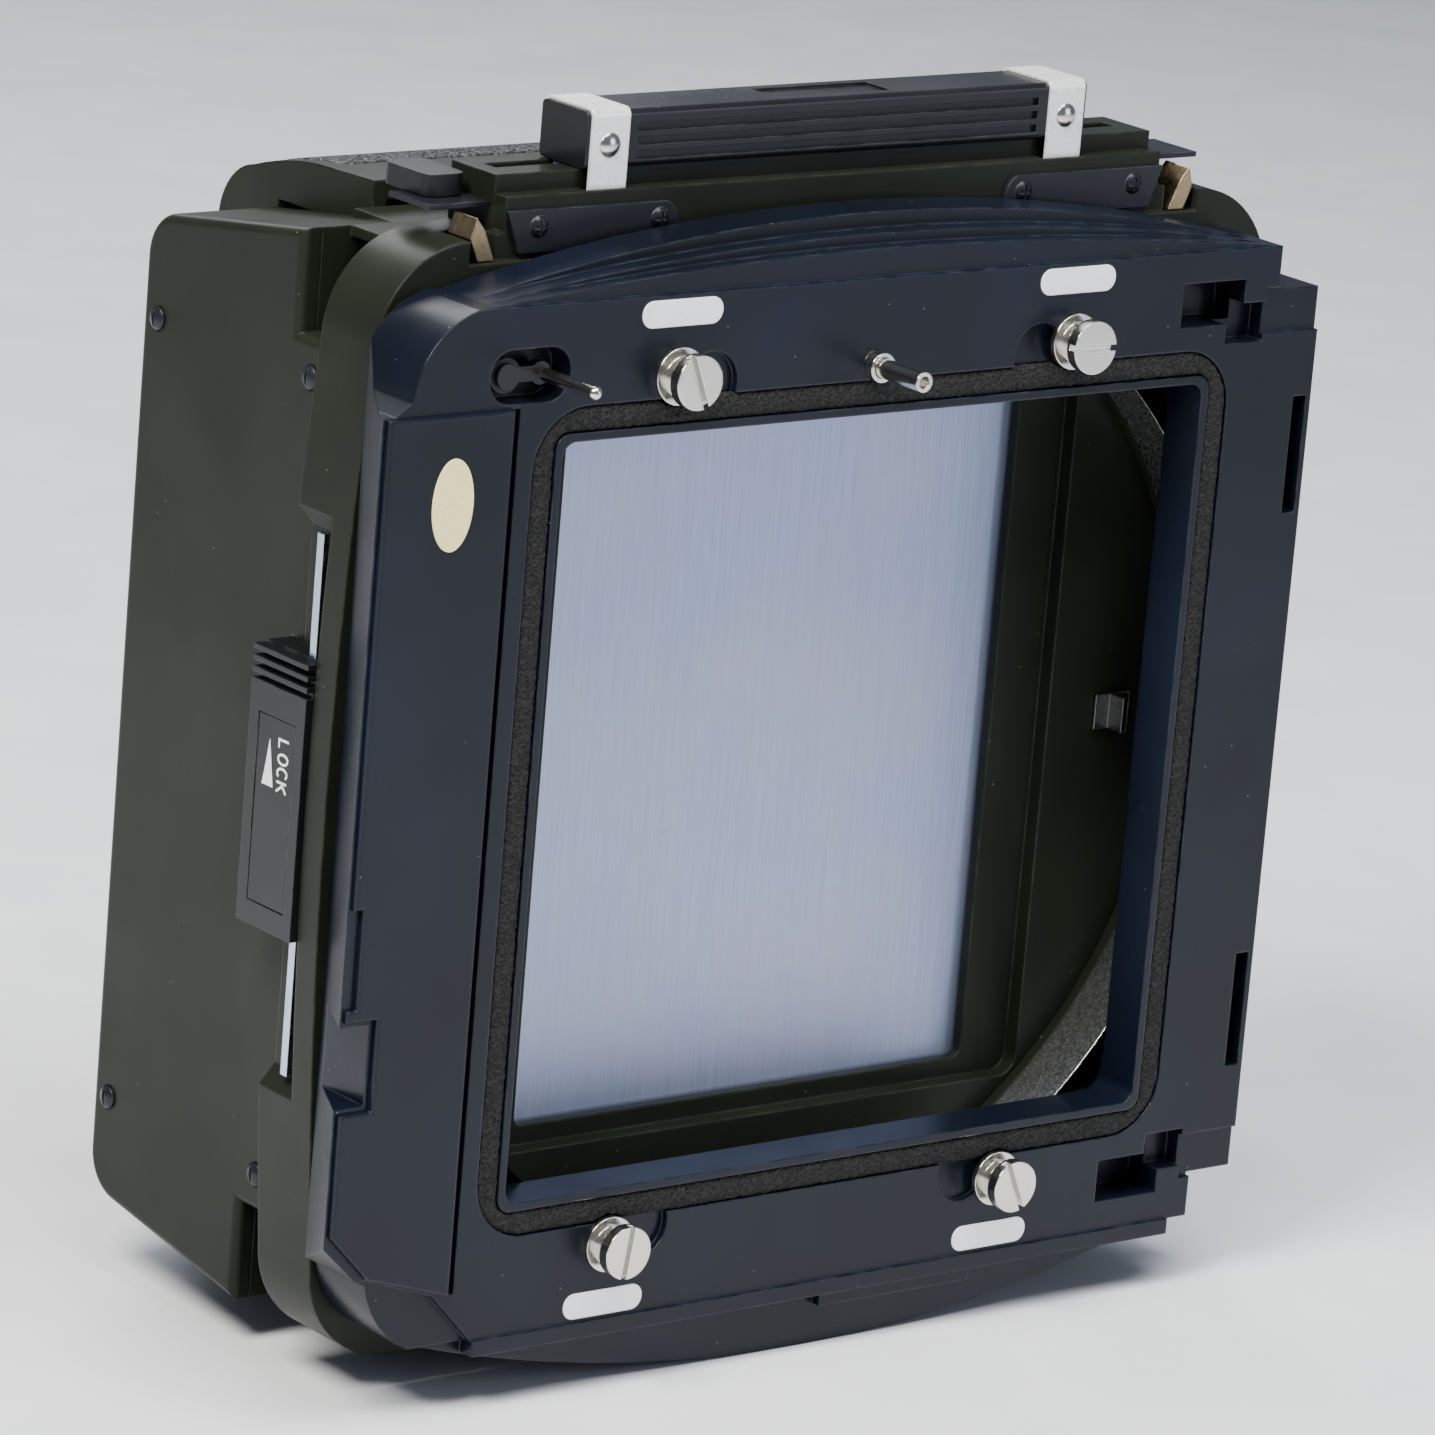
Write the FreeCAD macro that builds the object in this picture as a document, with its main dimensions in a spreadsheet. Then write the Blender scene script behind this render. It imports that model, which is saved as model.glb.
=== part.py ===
import FreeCAD, Part
import math
import os
import Sketcher

# A roll film holder (magazine) locked on its revolving adapter, dark slide in.
# Frame: mm, +Z up, -Y toward the camera body, origin on the revolving axis at
# the adapter's front face.  Everything that turns lies behind the front plate.

V = FreeCAD.Vector
doc = FreeCAD.newDocument("film_holder")
sheet = doc.addObject("Spreadsheet::Sheet", "Sizes")


# --- numbers that know their own sheet expression ---------------------------

class Dim:
    """A value together with the sheet expression that gives it."""

    def __init__(self, value, text):
        self.value = float(value)
        self.text = text

    def _join(self, other, sign, value):
        return Dim(value, "(%s %s %s)" % (self.text, sign, dim(other).text))

    def __add__(self, other):
        return self._join(other, "+", self.value + dim(other).value)

    def __sub__(self, other):
        return self._join(other, "-", self.value - dim(other).value)

    def __mul__(self, other):
        return self._join(other, "*", self.value * dim(other).value)

    def __truediv__(self, other):
        return self._join(other, "/", self.value / dim(other).value)

    def __neg__(self):
        return Dim(-self.value, "(-%s)" % self.text)

    def __radd__(self, other):
        return dim(other) + self

    def __rsub__(self, other):
        return dim(other) - self

    def __rmul__(self, other):
        return dim(other) * self


def dim(value):
    """Wrap a plain number so it can stand beside sheet sizes."""
    return value if isinstance(value, Dim) else Dim(value, "%.6g" % value)


row_count = 0


def size(name, value):
    """Put one driving size in the sheet and return it."""
    global row_count
    row_count += 1
    sheet.set("A%d" % row_count, name)
    sheet.set("B%d" % row_count, "%g" % value)
    sheet.setAlias("B%d" % row_count, name)
    return Dim(value, "Sizes." + name)


# front plate (stays on the camera)
plate_left = size("plate_left", 60)
plate_right = size("plate_right", 53.7)
plate_half_h = size("plate_half_h", 50.5)
plate_depth = size("plate_depth", 9)
lip_depth = size("lip_depth", 5)
open_half_w = size("open_half_w", 39.2)
open_half_h = size("open_half_h", 37.2)
rim_w = size("rim_w", 0.8)
seal_w = size("seal_w", 2.6)
seal_depth = size("seal_depth", 2)
arch_half = size("arch_half", 47.5)
base_drop = size("base_drop", 57.7)
stud_x = size("stud_x", -2.4)
stud_pitch_x = size("stud_pitch_x", 48.2)
stud_pitch_z = size("stud_pitch_z", 85.5)
panel_rise = size("panel_rise", 0.7)
# revolving bearing
ring_neck_r = size("ring_neck_r", 50.8)
ring_wall = size("ring_wall", 0.8)
ring_step = size("ring_step", 1)
ring_fit = size("ring_fit", 0.07)
# revolving frame
plate_gap = size("plate_gap", 0.5)
frame_rear = size("frame_rear", 18.2)
frame_half = size("frame_half", 54.5)
frame_bulge = size("frame_bulge", 2)
frame_corner = size("frame_corner", 10)
web_depth = size("web_depth", 2.8)
# magazine
mag_half_w = size("mag_half_w", 50.3)
cover_t = size("cover_t", 2)
case_in = size("case_in", 40.3)
wall = size("wall", 2)
gate_half_w = size("gate_half_w", 28)
gate_half_h = size("gate_half_h", 35.2)
slot_front = size("slot_front", 15.3)
slot_w = size("slot_w", 1.9)
block_rise = size("block_rise", 3.5)
block_half = size("block_half", 40)
mag_rear = size("mag_rear", 51)
# dark slide
slide_half = size("slide_half", 30.2)
slide_t = size("slide_t", 1.0)
handle_h = size("handle_h", 5.5)
handle_half = size("handle_half", 30.5)
# locks
lock_travel = size("lock_travel", 8)
lock_fit = size("lock_fit", 0.05)
# rear door
door_half = size("door_half", 40)
door_back = size("door_back", 57.6)
door_t = size("door_t", 2)
hinge_y = size("hinge_y", 29)
hinge_z = size("hinge_z", -55.4)
# film path
spool_r = size("spool_r", 12)
spool_half = size("spool_half", 32.5)
spool_y = size("spool_y", 38.5)
spool_z = size("spool_z", 37.5)
insert_half = size("insert_half", 37.8)
gear_module = size("gear_module", 0.9)
pivot_r = size("pivot_r", 2.5)
spin_fit = size("spin_fit", 0.08)

# what follows from those sizes
ring_in_r = ring_neck_r - ring_wall
ring_flange_r = ring_neck_r + ring_step
frame_front = plate_depth + plate_gap
# the frame's crown, which everything on top is set from
crown = frame_half + frame_bulge
block_top = crown + block_rise

PINION_TEETH = 16
DIAL_TEETH = 26
# the counter wheel meshes with the shaft wheel, set 3.5 mm forward of it
gear_gap = gear_module.value * (PINION_TEETH + DIAL_TEETH) / 2
dial_y = spool_y.value - 3.5
dial_z = spool_z.value - math.sqrt(gear_gap ** 2 - 3.5 ** 2)

nodes = []


# --- building helpers --------------------------------------------------------

def bind(obj, prop, value):
    """Drive one property from the sheet."""
    obj.setExpression(prop, dim(value).text)


def place(obj, x, y, z):
    """Drive an object's position from the sheet."""
    bind(obj, "Placement.Base.x", x)
    bind(obj, "Placement.Base.y", y)
    bind(obj, "Placement.Base.z", z)
    return obj


def box(x1, x2, y1, y2, z1, z2):
    """Box between two corners."""
    obj = doc.addObject("Part::Box", "box")
    bind(obj, "Length", dim(x2) - x1)
    bind(obj, "Width", dim(y2) - y1)
    bind(obj, "Height", dim(z2) - z1)
    return place(obj, x1, y1, z1)


TURN = {
    "X": FreeCAD.Rotation(V(0, 1, 0), 90),
    "Y": FreeCAD.Rotation(V(1, 0, 0), -90),
    "Z": FreeCAD.Rotation(),
}


def cyl(axis, x, y, z, radius, length):
    """Cylinder that starts at a point and runs along +axis."""
    obj = doc.addObject("Part::Cylinder", "cyl")
    obj.Placement = FreeCAD.Placement(V(), TURN[axis])
    bind(obj, "Radius", radius)
    bind(obj, "Height", length)
    return place(obj, x, y, z)


def ball(x, y, z, radius):
    """Full ball at a point."""
    obj = doc.addObject("Part::Sphere", "ball")
    bind(obj, "Radius", radius)
    return place(obj, x, y, z)


def fuse(*shapes):
    """Join shapes into one solid."""
    obj = doc.addObject("Part::MultiFuse", "fuse")
    obj.Shapes = list(shapes)
    obj.Refine = True
    return obj


def group(*shapes):
    """Keep separate solids together as one node."""
    obj = doc.addObject("Part::Compound", "group")
    obj.Links = list(shapes)
    return obj


def cut(base, *tools):
    """Take the tools away from the base."""
    obj = doc.addObject("Part::Cut", "cut")
    obj.Base = base
    obj.Tool = tools[0] if len(tools) == 1 else fuse(*tools)
    obj.Refine = True
    return obj


def common(one, two):
    """Keep what two shapes share."""
    obj = doc.addObject("Part::Common", "common")
    obj.Base = one
    obj.Tool = two
    obj.Refine = True
    return obj


def round_edges(base, radius, wanted):
    """Round every edge the test function picks."""
    doc.recompute()
    picked = [i + 1 for i, e in enumerate(base.Shape.Edges) if wanted(e)]
    obj = doc.addObject("Part::Fillet", "fillet")
    obj.Base = base
    obj.Edges = [(i, radius, radius) for i in picked]
    return obj


def along(axis):
    """Edge test: straight edge parallel to an axis."""
    index = "XYZ".index(axis)

    def test(edge):
        if len(edge.Vertexes) != 2 or not isinstance(edge.Curve, Part.Line):
            return False
        step = edge.Vertexes[1].Point - edge.Vertexes[0].Point
        return abs(abs(step[index]) - step.Length) < 1e-6
    return test


def node(label, obj):
    """Name a finished sub-part; the label names its file."""
    obj.Label = label
    nodes.append((label, obj))
    return obj


# Sketch planes: where the sketch's own axes point and which way a pad runs.
PLANES = {
    "XZ": ("XZ_Plane", True),
    "XY": ("XY_Plane", False),
    "YZ": ("YZ_Plane", False),
}


def sketch(body, plane, points):
    """Closed outline; a third number on a point is the radius of the edge after it
    (positive bulges outward on a path that runs anticlockwise)."""
    sk = body.newObject("Sketcher::SketchObject", "outline")
    role = PLANES[plane][0]
    origin_plane = [f for f in body.Origin.OriginFeatures if f.Role == role][0]
    sk.AttachmentSupport = [(origin_plane, "")]
    sk.MapMode = "FlatFace"
    spots = [V(dim(p[0]).value, dim(p[1]).value, 0) for p in points]
    count = len(points)
    for i in range(count):
        a, b = spots[i], spots[(i + 1) % count]
        if len(points[i]) == 3:
            r = dim(points[i][2]).value
            chord = b - a
            half = chord.Length / 2
            sag = abs(r) - math.sqrt(max(r * r - half * half, 0))
            side = V(chord.y, -chord.x, 0).normalize() * (sag if r > 0 else -sag)
            sk.addGeometry(Part.Arc(a, (a + b) * 0.5 + side, b), False)
        else:
            sk.addGeometry(Part.LineSegment(a, b), False)

    def end_at(edge, spot):
        return 1 if (sk.getPoint(edge, 1) - spot).Length < 1e-5 else 2

    for i in range(count):
        j = (i + 1) % count
        start = end_at(i, spots[i])
        for kind, part in (("DistanceX", 0), ("DistanceY", 1)):
            k = sk.addConstraint(Sketcher.Constraint(kind, -1, 1, i, start, spots[i][part]))
            sk.setExpression("Constraints[%d]" % k, dim(points[i][part]).text)
        sk.addConstraint(Sketcher.Constraint("Coincident", i, 3 - start, j, end_at(j, spots[j])))
        if len(points[i]) == 3:
            r = dim(points[i][2])
            k = sk.addConstraint(Sketcher.Constraint("Radius", i, abs(r.value)))
            sk.setExpression("Constraints[%d]" % k, r.text if r.value > 0 else (-r).text)
    return sk


def slab(plane, points, start, end):
    """PartDesign pad of an outline between two distances along the plane's normal."""
    body = doc.addObject("PartDesign::Body", "body")
    profile = sketch(body, plane, points)
    pad = body.newObject("PartDesign::Pad", "pad")
    pad.Profile = profile
    pad.Reversed = PLANES[plane][1]
    bind(pad, "Length", dim(end) - start)
    profile.Visibility = False
    shift = {"XZ": "y", "XY": "z", "YZ": "x"}[plane]
    bind(body, "Placement.Base." + shift, start)
    return body


def lathe(points, axis, x, y, z):
    """Turned part: a half profile (radius, height) revolved about its height axis."""
    body = doc.addObject("PartDesign::Body", "body")
    profile = sketch(body, "XZ", points)
    turned = body.newObject("PartDesign::Revolution", "turned")
    turned.Profile = profile
    turned.ReferenceAxis = (profile, ["V_Axis"])
    turned.Angle = 360
    profile.Visibility = False
    body.Placement = FreeCAD.Placement(V(), TURN[axis])
    return place(body, x, y, z)


def arc_radius(half, sag):
    """Radius of an arc from half its chord and its rise."""
    return (half * half + sag * sag) / (2 * sag)


def rounded(x, z, r, cx=0, cz=0):
    """Rounded rectangle outline with half sizes x and z."""
    x, z, r = dim(x), dim(z), dim(r)
    return [
        (cx - x + r, cz - z), (cx + x - r, cz - z, r),
        (cx + x, cz - z + r), (cx + x, cz + z - r, r),
        (cx + x - r, cz + z), (cx - x + r, cz + z, r),
        (cx - x, cz + z - r), (cx - x, cz - z + r, r),
    ]


# --- front plate -------------------------------------------------------------

seal_in_w = open_half_w + rim_w
seal_in_h = open_half_h + rim_w


def front_plate():
    """Cast plate: arched top and bottom, opening, ring bore, recesses."""
    h = plate_half_h
    edge_in = plate_right - 5.7
    face = slab("XZ", [
        (-48.9, -h), (edge_in, -h), (edge_in, -h + 4.5), (plate_right, -h + 4.5),
        (plate_right, h - 4.5), (edge_in, h - 4.5), (edge_in, h), (-plate_left + 10, h, 9.5),
        (-plate_left + 3.2, h - 8.2), (-plate_left + 1.4, h - 9.5), (-plate_left, h - 9.5),
        (-plate_left, -h + 11.8), (-plate_left + 4.2, -h + 7.8),
        (-plate_left + 5.7, -h + 7.1, 10)], 0, plate_depth)
    parts = [face]
    sag = base_drop - h
    bottom = arc_radius(arch_half, sag)
    left, right = -arch_half - 0.5, arch_half - 0.5
    parts.append(slab("XZ", [(left, -h, bottom), (right, -h), (right, -h + 3), (left, -h + 3)],
                      1.6, plate_depth))
    parts.append(box(left + 6, right - 1.7, -0.35, 3, -h - 1.5, -h + 0.1))
    parts.append(box(1, 20, 0.5, 3, -h - 3, -h))
    for start, rise in ((0.5, 2.8), (2, 3.9), (4, 5.5)):
        top = arc_radius(arch_half, dim(rise))
        parts.append(slab("XZ", [(left, h - 3), (right, h - 3), (right, h, top), (left, h)],
                          start, plate_depth))
    solid = fuse(*parts)
    tools = [
        slab("XZ", rounded(open_half_w, open_half_h, 1.5), -1, plate_depth + 1),
        cut(slab("XZ", rounded(seal_in_w + seal_w, seal_in_h + seal_w, 6), -1, seal_depth),
            slab("XZ", rounded(seal_in_w, seal_in_h, 1.5), -2, seal_depth + 1)),
        slab("XZ", [(-61, -42.5), (-55, -42.5), (-47, -45.2), (-42, -h), (-42, -h - 12),
                    (-61, -h - 12)], -1, 0.8),
        box(-45.4, -44.5, -1, 0.8, -45.3, 40.9),
        cyl("Y", 0, lip_depth, 0, ring_flange_r + ring_fit, 10),
        cyl("Y", 0, lip_depth + 2.1, 0, ring_flange_r + 1, 10),
        slab("XY", [(-plate_left - 1, -0.01), (-plate_left, -0.01),
                    (-plate_left + 4.5, plate_depth + 0.01), (-plate_left - 1, plate_depth + 0.01)],
             -70, 70),
    ]
    for sx in (-1, 1):
        for sz in (-1, 1):
            x = stud_x + stud_pitch_x * 0.5 * sx
            z = stud_pitch_z * 0.5 * sz
            tools.append(cyl("Y", x, -1, z, 1.5, 10))
            tools.append(cyl("Y", x - 4 * sx, -1, z - 1.2 * sz, 3.2, 1.8))
            tools.append(slab("XZ", rounded(4.7, 1.3, 1.25, x, 48.75 * sz), -1, 0.6))
            tools.append(cyl("Y", 39.6 * sx, lip_depth + 2.1, 39.6 * sz, 4.2, 10))
            tools.append(cyl("Y", 39.6 * sx, lip_depth + 0.4, 39.6 * sz, 1, 5))
    tools.append(slab("XZ", rounded(4.6, 2.6, 2.5, -43.6, 43.9), -1, 3))
    tools.append(cyl("Y", stud_x - 0.3, -1, 42, 1.45, 12))
    for sz in (-1, 1):
        tools.append(box(35.5, 43.6, -1, 4.4, 45.2 * sz - 2.2, 45.2 * sz + 2.2))
        tools.append(box(41.5, 46.5, -1, 2.2, 43 * sz - 2, 43 * sz + 2))
        tools.append(box(46.5, 60, -1, 0.5, 44 * sz - 2.3, 44 * sz + 2.3))
        tools.append(box(plate_right - 2.3, plate_right - 0.6, -1, 4, 29 * sz - 6, 29 * sz + 6))
    tools.append(box(-plate_left - 1, -plate_left + 3.4, -1, 10, -25, -17))
    solid = cut(solid, *tools)
    return node("front_plate", solid)


def plate_trim():
    """Panel, sticker, seal, studs and contacts that sit on the plate."""
    left = -plate_left
    panel = slab("XZ", [
        (left + 0.4, -37.5), (left + 5, -42.3), (-45.4, -45.3), (-45.4, 40.9), (left + 0.4, 40.9),
        (left + 0.4, -5.6), (left + 1.4, -5.6), (left + 1.4, -15.3), (left + 0.4, -15.3),
        (left + 0.4, -16.5), (left + 3.9, -16.5), (left + 3.9, -25.5), (left + 0.4, -25.5)],
        -panel_rise, 0)
    front = -panel_rise.value
    panel = round_edges(panel, 0.35, lambda e: abs(e.BoundBox.YMax - front) < 1e-6
                        and abs(e.BoundBox.YMin - front) < 1e-6)
    node("side_panel", panel)
    oval = doc.addObject("Part::Ellipse", "oval")
    oval.MajorRadius = 4.4
    oval.MinorRadius = 2.3
    oval.Placement = FreeCAD.Placement(V(), FreeCAD.Rotation(V(1, 0, 0), 90)
                                       * FreeCAD.Rotation(V(0, 0, 1), 90))
    place(oval, -52, -panel_rise, 32.5)
    face = doc.addObject("Part::Extrusion", "sticker")
    face.Base = oval
    face.DirMode = "Custom"
    face.Dir = V(0, -1, 0)
    face.LengthFwd = 0.15
    face.Solid = True
    node("maker_sticker", face)
    outer = slab("XZ", rounded(seal_in_w + seal_w, seal_in_h + seal_w, 6), 0.1, seal_depth)
    inner = slab("XZ", rounded(seal_in_w, seal_in_h, 1.5), -1, seal_depth + 1)
    gaps = [inner, cyl("Y", stud_x - 0.3, -2, 42, 1.5, 6)]
    studs, contacts = [], []
    slot_angle = {(-1, 1): 22, (1, 1): 88, (-1, -1): -8, (1, -1): 24}
    for sx in (-1, 1):
        for sz in (-1, 1):
            x = stud_x + stud_pitch_x * 0.5 * sx
            z = stud_pitch_z * 0.5 * sz
            slot = doc.addObject("Part::Box", "slot")
            slot.Length, slot.Width, slot.Height = 0.6, 1.3, 8
            turn = FreeCAD.Rotation(V(0, 1, 0), -slot_angle[sx, sz])
            slot.Placement = FreeCAD.Placement(V(x.value, -4, z.value) - turn.multVec(V(0.3, 0, 4)), turn)
            stud = fuse(cyl("Y", x, -0.6, z, 2.78, 0.6), cyl("Y", x, -2.4, z, 1.9, 1.9),
                        cyl("Y", x, -3.5, z, 2.63, 1.2), cyl("Y", x, -0.1, z, 1.5, 4.3))
            studs.append(cut(stud, slot))
            gaps.append(cyl("Y", x, -2, z, 2.88, 6))
            contacts.append(slab("XZ", rounded(4.7, 1.3, 1.25, x, 48.75 * sz), -0.1, 0.6))
    node("foam_seal", cut(outer, *gaps))
    node("mounting_studs", group(*studs))
    node("contact_ovals", group(*contacts))


def plate_movers():
    """Signal pin in its bush and the little selector lever."""
    x = stud_x - 0.3
    bush = cut(cyl("Y", x, -1.2, 42, 1.45, 5.6), cyl("Y", x, -2, 42, 1.05, 8))
    node("pin_bush", bush)
    pin = fuse(cyl("Y", x, -7.4, 42, 0.98, lip_depth + 7.6), cyl("Y", x, lip_depth + 0.1, 42, 1.9, 0.8))
    node("signal_pin", cut(pin, cyl("Y", x, -8, 42, 0.6, 2)))
    node("lever_pivot", fuse(cyl("Y", -46, 0.6, 43.9, 0.8, 2.4), cyl("Y", -46, 0.2, 43.9, 1.2, 0.45)))
    arm = fuse(cyl("Y", -46, 0.75, 43.9, 1.7, 1.1), cyl("Y", -41.9, 0.75, 43.9, 1.1, 1.1),
               box(-46, -41.9, 0.75, 1.85, 43.2, 44.6))
    node("selector_lever", cut(arm, cyl("Y", -46, -1, 43.9, 0.87, 4)))
    node("lever_pin", fuse(cyl("Y", -41.9, -7.6, 43.9, 0.65, 8.35), ball(-41.9, -7.6, 43.9, 0.65)))


def bearing():
    """Ring that turns in the plate and the ring that keeps it there."""
    flange_end = lip_depth + 2
    ring = fuse(cyl("Y", 0, lip_depth + 0.1, 0, ring_flange_r, flange_end - lip_depth - 0.1),
                cyl("Y", 0, flange_end - 0.1, 0, ring_neck_r, frame_front + 1.6 - flange_end))
    node("bearing_ring", cut(ring, cyl("Y", 0, 0, 0, ring_in_r, 20)))
    start = lip_depth + 2.1
    disc = [cyl("Y", 0, start, 0, ring_flange_r + 1, plate_depth - start)]
    holes = [cyl("Y", 0, 0, 0, ring_neck_r + ring_fit, 20)]
    screws = []
    for sx in (-1, 1):
        for sz in (-1, 1):
            disc.append(cyl("Y", 39.6 * sx, start, 39.6 * sz, 4.2, plate_depth - start))
            holes.append(cyl("Y", 39.6 * sx, 0, 39.6 * sz, 1, 20))
            holes.append(cyl("Y", 39.6 * sx, plate_depth - 0.9, 39.6 * sz, 1.9, 2))
            screw = fuse(cyl("Y", 39.6 * sx, lip_depth + 0.5, 39.6 * sz, 1, 3.7),
                         cyl("Y", 39.6 * sx, plate_depth - 0.9, 39.6 * sz, 1.9, 0.8))
            screws.append(cut(screw, box(39.6 * sx - 1.4, 39.6 * sx + 1.4, plate_depth - 0.5,
                                         plate_depth + 1, 39.6 * sz - 0.2, 39.6 * sz + 0.2)))
    node("retaining_ring", cut(fuse(*disc), *holes))
    node("retainer_screws", group(*screws))


# --- revolving frame ---------------------------------------------------------

def revolving_frame():
    """Bulged square shell that carries the magazine."""
    c, r = frame_half, frame_corner
    side = arc_radius(c - r, frame_bulge)
    ends = [(-(c - r), -c), (c - r, -c), (c, -(c - r)), (c, c - r),
            (c - r, c), (-(c - r), c), (-c, c - r), (-c, -(c - r))]
    points = [(e[0], e[1], side if i % 2 == 0 else r) for i, e in enumerate(ends)]
    shell = slab("XZ", points, frame_front, frame_rear)
    web_rear = frame_front + web_depth
    pocket_w = mag_half_w + 0.2
    tools = [
        box(-pocket_w, pocket_w, web_rear, 30, -43.2, 43.2),
        box(-41, 41, web_rear, 30, 43, crown + 13.5),
        box(-44.5, 44.5, 0, frame_front + 1, crown - 4.2, crown + 13.5),
        box(-44.5, -41, 0, 14.2, crown - 4.2, crown + 13.5),
        box(41, 44.5, 0, 14.2, crown - 4.2, crown + 13.5),
    ]
    for s in (-1, 1):
        ends = [(54, -26.5), (58, -31), (58, 31), (54, 26.5)]
        if s < 0:
            ends = [(-x, z) for x, z in reversed(ends)]
        tools.append(slab("XZ", ends, 12.7, 30))
    solid = cut(shell, *tools)
    lip = box(-block_half, block_half, frame_front + 1, web_rear, crown - 6.5, crown + 1.8)
    slots = [box(27.9 * s - 2.7, 27.9 * s + 2.7, 11, 13, crown + 0.1, crown + 3.5)
             for s in (-1, 1)]
    lip = cut(lip, *slots)
    bore = fuse(cyl("Y", 0, 0, 0, ring_in_r, 30), cyl("Y", 0, 0, 0, ring_neck_r, frame_front + 1.5))
    return node("revolving_frame", cut(fuse(solid, lip), bore))


def locks():
    """Sliding locks with their rails and label plates, left and right."""
    for s, side in ((-1, "left"), (1, "right")):
        def span(a, b, y1, y2, z1, z2):
            lo, hi = (a, b) if s > 0 else (-b, -a)
            return box(lo, hi, y1, y2, z1, z2)
        node("lock_rail_" + side, span(54, 55.6, 14, 15, -26.5, 26.5))
        body = fuse(span(54.15, 57, 13.05, 22, -12.8, 14.4), span(52.5, 54.3, 18.5, 22, -12.8, 14.4),
                    span(51.2, 52.6, 20.2, 21.8, 5, 11))
        tools = [span(54, 55.6 + lock_fit, 14 - lock_fit, 15 + lock_fit, -20, 20),
                 span(56.5, 58, 14.4, 20.5, -10.5, 8)]
        for i in range(4):
            tools.append(span(56.3 - 0.25 * i, 58, 12, 23, 10.9 + 1.1 * i, 11.5 + 1.1 * i))
        node("lock_slider_" + side, cut(body, *tools))
        node("lock_label_" + side, span(56.5, 56.95, 14.5, 20.4, -10.4, 7.9))


# --- magazine ----------------------------------------------------------------

def case_outline():
    """Side view (Y, Z) of the gear cases and their covers, rear corners round."""
    half, slope_y, corner_z = 53, 25, 49.15
    reach = 4
    run = mag_rear.value - slope_y
    slope = math.hypot(run, half - corner_z)
    turn = math.pi / 2 - math.atan2(half - corner_z, run)
    r = reach / math.tan(turn / 2)
    y = mag_rear - reach * run / slope
    z = corner_z + reach * (half - corner_z) / slope
    return [(18.6, -43), (slope_y, -43), (slope_y, -half), (y, -z, r),
            (mag_rear, reach - corner_z), (mag_rear, corner_z - reach, r), (y, z),
            (slope_y, half), (slope_y, 43), (18.6, 43)]


def housing():
    """Die-cast body: gate block, dark slide slot, gear cases each side."""
    front = frame_front + web_depth + 0.1
    slot_rear = slot_front + slot_w
    parts = [
        box(-mag_half_w, mag_half_w, front, 19.5, -43, 43),
        box(-block_half, block_half, front, 19.5, 42, block_top),
        box(-case_in - wall, case_in + wall, 18.6, 19.5, -52, 52),
        box(-case_in - wall, case_in + wall, 19, 31.4, 51, 53),
        box(-case_in - wall, case_in + wall, 19, 31, -53, -51),
        slab("YZ", case_outline(), -mag_half_w, -case_in),
        slab("YZ", case_outline(), case_in, mag_half_w),
        box(40, 47, 19.5, 25, 52, 53), box(-47, -40, 19.5, 25, 52, 53),
    ]
    tools = [
        slab("XZ", rounded(34, 37.2, 2), front - 1, 14.2),
        slab("XZ", rounded(gate_half_w, gate_half_h, 1), front, slot_front + 0.1),
        slab("XZ", rounded(gate_half_w + 0.5, gate_half_h + 0.3, 1), slot_rear - 0.1, 21),
        box(-slide_half - 0.5, slide_half + 0.5, slot_front, slot_rear, -39, block_top + 1),
        box(-38, 38, slot_front, slot_rear, block_top - 3, block_top + 1),
    ]
    for s in (-1, 1):
        lo, hi = (case_in + wall, 60) if s > 0 else (-60, -case_in - wall)
        tools.append(box(lo, hi, 21.5, 48.5, -41.5, 41.5))
        tools.append(box(lo, hi, 27, 46, -47, 47))
    tools.append(cyl("X", case_in - 1, spool_y, spool_z, pivot_r + spin_fit, 8))
    solid = cut(fuse(*parts), *tools)
    knuckles = [cyl("X", x, hinge_y, hinge_z, 2.2, 11.4) for x in (-37, 25.6)]
    knuckles += [box(x, x + 11.4, hinge_y - 2.1, hinge_y, hinge_z, -52) for x in (-37, 25.6)]
    solid = cut(fuse(solid, *knuckles), cyl("X", -39, hinge_y, hinge_z, 1.2, 80))
    node("magazine_housing", solid)
    clip = fuse(box(39.8, 44.2, front - 0.5, front - 0.02, -1.4, 2.2),
                box(41.6, 42.3, front - 2.6, front - 0.4, -1.4, 2.2))
    node("index_clip", clip)


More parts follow.
